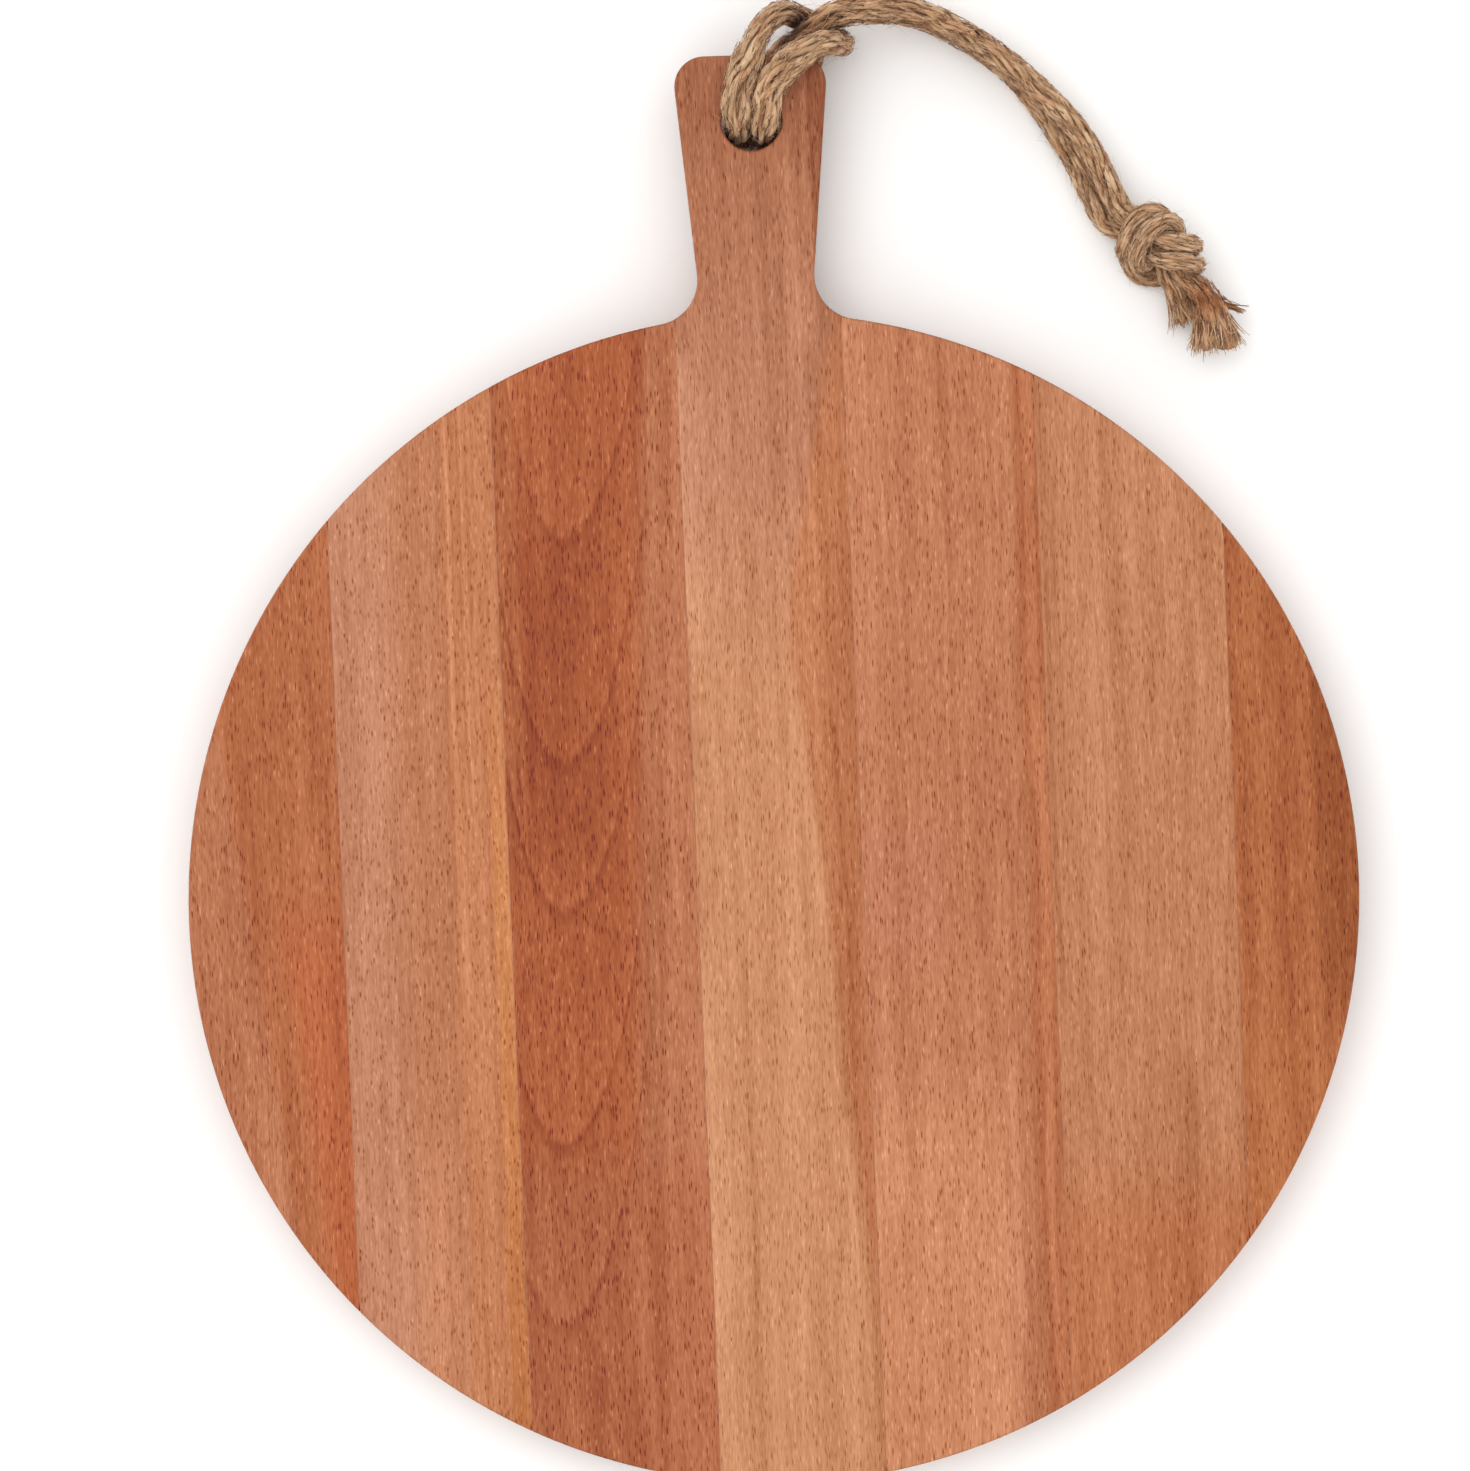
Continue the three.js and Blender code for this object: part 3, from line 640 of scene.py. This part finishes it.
def through(points, step):
    """Evenly spaced places on the smooth curve through the given points."""
    points = np.array(points, float)
    points = np.vstack([2 * points[0] - points[1], points, 2 * points[-1] - points[-2]])
    places = []
    for a, b, c, d in zip(points, points[1:], points[2:], points[3:]):
        t1 = np.sqrt(np.linalg.norm(b - a))
        t2 = t1 + np.sqrt(np.linalg.norm(c - b))
        t3 = t2 + np.sqrt(np.linalg.norm(d - c))
        t = np.linspace(t1, t2, 40, endpoint=False)[:, None]
        ab = (t1 - t) / t1 * a + t / t1 * b
        bc = (t2 - t) / (t2 - t1) * b + (t - t1) / (t2 - t1) * c
        cd = (t3 - t) / (t3 - t2) * c + (t - t2) / (t3 - t2) * d
        abc = (t2 - t) / t2 * ab + t / t2 * bc
        bcd = (t3 - t) / (t3 - t1) * bc + (t - t1) / (t3 - t1) * cd
        places.append((t2 - t) / (t2 - t1) * abc + (t - t1) / (t2 - t1) * bcd)
    places = np.vstack(places + [points[-2][None]])
    run = np.concatenate([[0], np.cumsum(np.linalg.norm(np.diff(places, axis=0), axis=1))])
    even = np.linspace(0, run[-1], max(2, round(run[-1] / step)) + 1)
    return np.stack([np.interp(even, run, places[:, k]) for k in range(3)], axis=1)


def unit(vectors):
    """The same directions, each of length 1."""
    return vectors / np.linalg.norm(vectors, axis=1)[:, None]


def carried_frame(line):
    """The forward, sideways and upward directions along a line, which don't turn about it."""
    forward = unit(np.gradient(line, axis=0))
    first = np.cross(forward[0], (0.0, 0.0, 1.0))
    if np.linalg.norm(first) < 0.1:
        first = np.cross(forward[0], (0.0, 1.0, 0.0))
    sideways = [first / np.linalg.norm(first)]
    for direction in forward[1:]:
        turned = sideways[-1] - direction * (sideways[-1] @ direction)
        sideways.append(turned / np.linalg.norm(turned))
    sideways = np.array(sideways)
    return forward, sideways, np.cross(forward, sideways)


def slow_noise(rng, count, every):
    """A smooth random run between -1 and 1, with a new value every so many steps."""
    knots = rng.uniform(-1, 1, int(count / every) + 3)
    places = np.linspace(0, len(knots) - 1, count)
    low = np.minimum(places.astype(int), len(knots) - 2)
    part = places - low
    part = part * part * (3 - 2 * part)
    return knots[low] * (1 - part) + knots[low + 1] * part


def tube(line, first, second, radius, run, tone, warm, depth, sides=YARN_SIDES):
    """A closed tube round a line: its points, faces, yarn places, tones, warmths and depths."""
    count = len(line)
    turns = np.linspace(0, 2 * np.pi, sides, endpoint=False)
    rings = line[:, None] + radius[:, None, None] * (
        np.cos(turns)[None, :, None] * first[:, None] + np.sin(turns)[None, :, None] * second[:, None])
    corner = np.arange((count - 1) * sides).reshape(-1, sides)
    faces = np.stack([corner, np.roll(corner, -1, axis=1), np.roll(corner, -1, axis=1) + sides, corner + sides],
                     axis=2).reshape(-1, 4).tolist()
    faces.append(list(range(sides))[::-1])
    faces.append([(count - 1) * sides + j for j in range(sides)])
    girth = np.tile(turns, count) * np.repeat(radius, sides)
    places = np.stack([girth, np.repeat(run, sides)], axis=1)
    points = rings.reshape(-1, 3)
    return (points, faces, places, np.repeat(tone, sides), np.repeat(warm, sides),
            depth(points, np.repeat(np.arange(count), sides)))


def stain_and_painted_light(places):
    """How much darker and warmer the rope is at each place, from rust, from painted shade and from painted light."""
    dark, warm = 0, 0
    for middle, size, darker, warmer in STAINS_AND_PAINTED_LIGHT:
        share = np.exp(-np.sum((places - middle) ** 2, axis=-1) / 2 / size ** 2)
        dark, warm = dark + darker * share, warm + warmer * share
    return dark, warm


def flat_across(forward):
    """The level direction across a line, which near an upright stretch turns to the handle's width."""
    return unit(np.cross(forward, (0.0, 0.0, 1.0)) - (0.3, 0, 0))


def laid_rope(line, radius, opening, pressed, parts, seed):
    """The yarns of a three-strand rope round a line: left-hand lay, with the yarns twisted the other way.

    Returns one list of yarns for each part, which is a span of the line's places.
    """
    rng = np.random.default_rng(seed)
    count = len(line)
    run = np.concatenate([[0], np.cumsum(np.linalg.norm(np.diff(line, axis=0), axis=1))])
    forward, sideways, upward = carried_frame(line)
    level = flat_across(forward)
    lists = [[] for _ in parts]
    for strand in range(3):
        turn = 2 * np.pi * (strand / 3 - run / STRAND_LAY) + 0.45 * slow_noise(rng, count, 22)
        out = np.cos(turn)[:, None] * sideways + np.sin(turn)[:, None] * upward
        spread = (0.28 + 0.55 * opening) * radius * (1 + 0.1 * slow_noise(rng, count, 12))
        middle = line + spread[:, None] * out
        heading = unit(np.gradient(middle, axis=0))
        outward = unit(out - heading * np.sum(out * heading, axis=1)[:, None])
        beside = np.cross(heading, outward)
        shade = rng.uniform(-0.06, 0.06)
        for yarn in range(YARNS):
            angle = 2 * np.pi * (yarn / YARNS + run / YARN_LAY) + 0.5 * slow_noise(rng, count, 9)
            reach = (0.44 + 0.2 * opening) * radius * (1 + 0.15 * slow_noise(rng, count, 5))
            centre = middle + reach[:, None] * (
                np.cos(angle)[:, None] * outward + np.sin(angle)[:, None] * beside)
            # Where the rope lies pressed on the wood it is wider than high
            centre += (pressed * np.sum((centre - line) * level, axis=1))[:, None] * level
            thick = 0.19 * radius * (1 + 0.5 * pressed + 0.9 * opening + 0.2 * slow_noise(rng, count, 4))
            dark, rust_and_shade_warmth = stain_and_painted_light(centre)
            tone = 0.52 + shade + rng.uniform(-0.1, 0.1) + 0.16 * slow_noise(rng, count, 5) - dark
            warm = np.clip(0.25 + 0.4 * slow_noise(rng, count, 12) + rust_and_shade_warmth, 0, 1)
            start = run + 100 * rng.uniform()
            for found, (first, last) in zip(lists, parts):
                span = slice(first, last)
                middles, sizes = line[span], radius[span] * (1 + opening[span])
                found.append(tube(
                    centre[span], outward[span], beside[span], thick[span], start[span], tone[span], warm[span],
                    lambda points, rows: np.linalg.norm(points - middles[rows], axis=1) / sizes[rows]))
    return lists


def fibre(start, heading, length, thick, curl, tone):
    """One loose fibre, which thins to its tip as it curls away, and takes the rope's rust, painted shade and painted
    light where it starts.
    """
    dark, rust_and_shade_warmth = stain_and_painted_light(start)
    part = np.linspace(0, 1, FIBRE_POINTS)[:, None]
    line = start + length * (part * heading + part ** 2 * curl)
    first = np.cross(heading, curl + (0.01, 0.02, 0.03))
    first = np.tile(first / np.linalg.norm(first), (FIBRE_POINTS, 1))
    second = np.cross(unit(np.gradient(line, axis=0)), first)
    radius = thick * (1 - 0.7 * part[:, 0])
    tones = np.full(FIBRE_POINTS, tone - dark)
    warmths = np.full(FIBRE_POINTS, min(1, FIBRE_WARMTH + rust_and_shade_warmth))
    return tube(line, first, second, radius, length * part[:, 0], tones, warmths,
                lambda points, rows: np.ones(len(points)), sides=FIBRE_SIDES)


def fuzz(line, radius, pressed, seed):
    """Fibres that stand off a rope and that lie on it, drawn thick enough to show."""
    rng = np.random.default_rng(seed)
    forward, sideways, upward = carried_frame(line)
    level = flat_across(forward)
    fibres = []
    for lies, per_mm in ((False, STANDING), (True, LYING)):
        for i in rng.integers(2, len(line) - 2, int(per_mm * YARN_STEP * len(line))):
            angle = rng.uniform(0, 2 * np.pi)
            out = math.cos(angle) * sideways[i] + math.sin(angle) * upward[i]
            around = np.cross(forward[i], out)
            lift = rng.normal(0, 0.05) if lies else rng.uniform(0.05, 0.45)
            heading = rng.choice((-1, 1)) * forward[i] + rng.normal(0, 0.35) * around + lift * out
            offset = (0.9 if lies else 0.86) * radius[i] * out
            start = line[i] + offset + pressed[i] * (offset @ level[i]) * level[i]
            if lies:
                length, thick, curl = rng.uniform(1.2, 3), rng.uniform(0.1, 0.17), rng.normal(0, 0.08, 3) - 0.06 * out
                tone = rng.choice((rng.uniform(-0.1, 0.3), rng.uniform(0.6, 1)))
            else:
                length, thick, curl = rng.uniform(2, 5), rng.uniform(0.05, 0.09), rng.normal(0, 0.3, 3) - 0.1 * out
                tone = rng.uniform(0.45, 0.9)
            made = fibre(start, heading / np.linalg.norm(heading), length, thick, curl, tone)
            if made[0][:, 2].min() > 0:
                fibres.append(made)
    return fibres


def rope_piece(name, yarns, material):
    """One mesh of many yarns, with their places, tones, warmths and depths."""
    starts = np.cumsum([0] + [len(y[0]) for y in yarns[:-1]])
    points = np.vstack([y[0] for y in yarns]) * MM
    faces = [tuple(i + int(start) for i in face) for start, y in zip(starts, yarns) for face in y[1]]
    mesh = bpy.data.meshes.new(name)
    mesh.from_pydata(points.tolist(), [], faces)
    places = np.vstack([y[2] for y in yarns])
    corners = np.empty(len(mesh.loops), int)
    mesh.loops.foreach_get("vertex_index", corners)
    mesh.uv_layers.new(name="yarn").data.foreach_set("uv", places[corners].ravel())
    for key, column in (("tone", 3), ("warm", 4), ("depth", 5)):
        values = np.concatenate([y[column] for y in yarns])
        mesh.attributes.new(key, "FLOAT", "POINT").data.foreach_set("value", values)
    mesh.materials.append(material)
    mesh.polygons.foreach_set("use_smooth", np.ones(len(mesh.polygons), bool))
    mesh.update()
    piece = bpy.data.objects.new(name, mesh)
    bpy.context.collection.objects.link(piece)
    return piece


def frayed(line, radius, count, seed, wide):
    """The brush of opened fibres at the line's last place, where the rope was cut."""
    rng = np.random.default_rng(seed)
    forward, sideways, upward = carried_frame(line)
    fibres = []
    for _ in range(count):
        back = rng.integers(1, 9)
        i = len(line) - 1 - back
        angle, reach = rng.uniform(0, 2 * np.pi), math.sqrt(rng.uniform(0, 1))
        out = math.cos(angle) * sideways[i] + math.sin(angle) * upward[i]
        start = line[i] + reach * radius[i] * out
        heading = forward[i] + wide * reach * out + rng.normal(0, 0.17, 3)
        made = fibre(start, heading / np.linalg.norm(heading), back * YARN_STEP + rng.uniform(-0.8, 1.6),
                     rng.uniform(0.2, 0.36), rng.normal(0, 0.17, 3), rng.uniform(0.2, 0.95))
        if made[0][:, 2].min() > 0:
            fibres.append(made)
    return fibres


def make_rope():
    """The rope in its pieces: the run with its loose fibres, the knot and the two frayed tails."""
    jute = jute_rope()

    # One rope: from its second tail through the knot, out to the handle, back to the knot and on to its first tail
    line = through(np.vstack([on_table(TO_TAIL_2)[::-1], ROPE_ROUTE, on_table(TO_TAIL_1)]), YARN_STEP)
    places = np.arange(len(line))
    leaves, comes = (int(np.argmin(np.linalg.norm(line - np.array(end), axis=1)))
                     for end in (ROPE_ROUTE[0], ROPE_ROUTE[-1]))
    beyond = (line - KNOT_MIDDLE) @ KNOT_AXES[0] > OPENS_AT
    opens_2 = int(np.argmin(beyond))
    opens_1 = len(line) - 1 - int(np.argmin(beyond[::-1]))
    radius = ROPE_RADIUS * np.interp(
        places, (opens_2 - 6, opens_2, leaves - 9, leaves - 3, comes + 3, comes + 9, opens_1, opens_1 + 6),
        (END_SHARE, KNOT_SHARE, KNOT_SHARE, 1, 1, KNOT_SHARE, KNOT_SHARE, END_SHARE))
    opening = np.interp(places, (0, opens_2, opens_1, len(line) - 1), (1.2, 0, 0, 0.25)) ** 1.3
    on_front = np.clip((line[:, 2] - 23) / 4, 0, 1) * np.clip((216 - line[:, 1]) / 4, 0, 1) * (line[:, 0] < 24)
    pressed = PRESSED * on_front
    parts = {"rope_tail_2": (0, opens_2 + 1), "knot_2": (opens_2, leaves + 1), "run": (leaves, comes + 1),
             "knot_1": (comes, opens_1 + 1), "rope_tail_1": (opens_1, len(line))}
    yarns = dict(zip(parts, laid_rope(line, radius, opening, pressed, parts.values(), 7)))
    for i, (name, (first, last)) in enumerate(parts.items()):
        span = slice(first, last)
        loose = fuzz(line[span], radius[span] * (1 + opening[span]), pressed[span], 17 + i)
        key = "fuzz" if name == "run" else name
        yarns[key] = yarns.get(key, []) + loose
    yarns["rope_tail_2"] += frayed(line[opens_2::-1], (radius * (1 + 0.9 * opening))[opens_2::-1], 420, 61, 0.3)
    yarns["rope_tail_1"] += frayed(line[opens_1:], (radius * (1 + 0.8 * opening))[opens_1:], 170, 62, 0.12)

    # A wisp that stands off the second tail, and a tuft where the rope rubs in the hole, its fibres drawn very dark
    # as painted shade that fills the hole's dark crescent
    rng = np.random.default_rng(71)
    for _ in range(WISP_FIBRES):
        start = on_table(np.array((25.5, 4, -1.5)) + rng.normal(0, 0.7, 3))
        heading = on_table(np.array((33, 8.4, -3)) + rng.normal(0, 0.9, 3)) - start
        yarns["rope_tail_2"].append(fibre(
            start, heading / np.linalg.norm(heading), rng.uniform(6, 8.2), rng.uniform(0.22, 0.36),
            rng.normal(0, 0.05, 3), rng.uniform(0.1, 0.6)))
    hidden = places[(line[:, 1] < 194) & (np.abs(line[:, 0]) < 8) & (line[:, 2] > 6) & (line[:, 2] < 17)]
    for i in rng.choice(hidden, TUFT_AND_SHADE_FIBRES):
        turn = rng.normal(0, 0.9)
        heading = np.array((math.sin(turn), -math.cos(turn), rng.normal(0, 0.3)))
        yarns["fuzz"].append(fibre(
            line[i] + 2.4 * heading + (rng.uniform(-3, 3), rng.normal(0, 0.4), 0), heading / np.linalg.norm(heading),
            rng.uniform(1, 2.7), rng.uniform(0.1, 0.18), rng.normal(0, 0.2, 3), rng.uniform(-0.3, 0.1)))

    run = rope_piece("rope_run", yarns["run"], jute)
    loose = rope_piece("rope_fuzz", yarns["fuzz"], jute)
    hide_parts("rope_hitch", "rope_strand_1", "rope_strand_2")
    for piece in (run, loose):
        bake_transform(piece)
    pieces = [rope_piece("rope_knot_tied", yarns["knot_1"] + yarns["knot_2"], jute)]
    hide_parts("rope_knot")
    for name in ("rope_tail_1", "rope_tail_2"):
        pieces.append(rope_piece(f"{name}_frayed", yarns[name], jute))
        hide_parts(name)
    for piece in pieces:
        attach(piece, "rope_end")


# Studio

LAMP_PLACE = (-0.55, 0.48, 1.5)
LAMP_WATTS = 5
LAMP_SIZE = 1.2
WORLD_STRENGTH = 1.08
LENS = 122.7
SENSOR = 36
CAMERA_PLACE = (-10.2 * MM, 10.6 * MM, 1.517)
CAMERA_ROLL = math.radians(-1.68)


def make_studio():
    """A white paper floor, white light from all round, one weak softbox, and the camera."""
    bpy.ops.object.select_all(action="DESELECT")
    bpy.ops.mesh.primitive_plane_add(size=12)
    floor = bpy.context.object
    floor.name = "studio_floor"
    # Matt paper: evenly white, without any gloss
    material, _, shader = new_material("matt_white_paper")
    shader.inputs["Base Color"].default_value = linear("#fdfdfc")
    shader.inputs["Roughness"].default_value = 0.9
    floor.data.materials.append(material)

    world = bpy.data.worlds.new("studio")
    world.use_nodes = True
    sky = world.node_tree.nodes["Background"]
    sky.inputs["Color"].default_value = (1, 1, 1, 1)
    sky.inputs["Strength"].default_value = WORLD_STRENGTH
    bpy.context.scene.world = world
    key = bpy.data.lights.new("softbox", "AREA")
    key.shape = "DISK"
    key.size = LAMP_SIZE
    key.energy = LAMP_WATTS
    lamp = bpy.data.objects.new("softbox", key)
    x, y, z = LAMP_PLACE
    lamp.matrix_world = Matrix.Translation(LAMP_PLACE) @ (
        Matrix.Rotation(math.atan2(y, x) + math.pi / 2, 4, "Z")
        @ Matrix.Rotation(math.atan2(math.hypot(x, y), z), 4, "X"))
    bpy.context.collection.objects.link(lamp)
    bpy.context.scene.view_settings.view_transform = "Standard"

    # Straight down, from 1.5 m over the board, turned by the photograph's small roll
    optics = bpy.data.cameras.new("camera")
    optics.sensor_width = SENSOR
    optics.lens = LENS
    camera = bpy.data.objects.new("camera", optics)
    camera.location = CAMERA_PLACE
    camera.rotation_euler = (0, 0, CAMERA_ROLL)
    bpy.context.collection.objects.link(camera)
    bpy.context.scene.camera = camera


make_studio()
make_rope()
make_board()
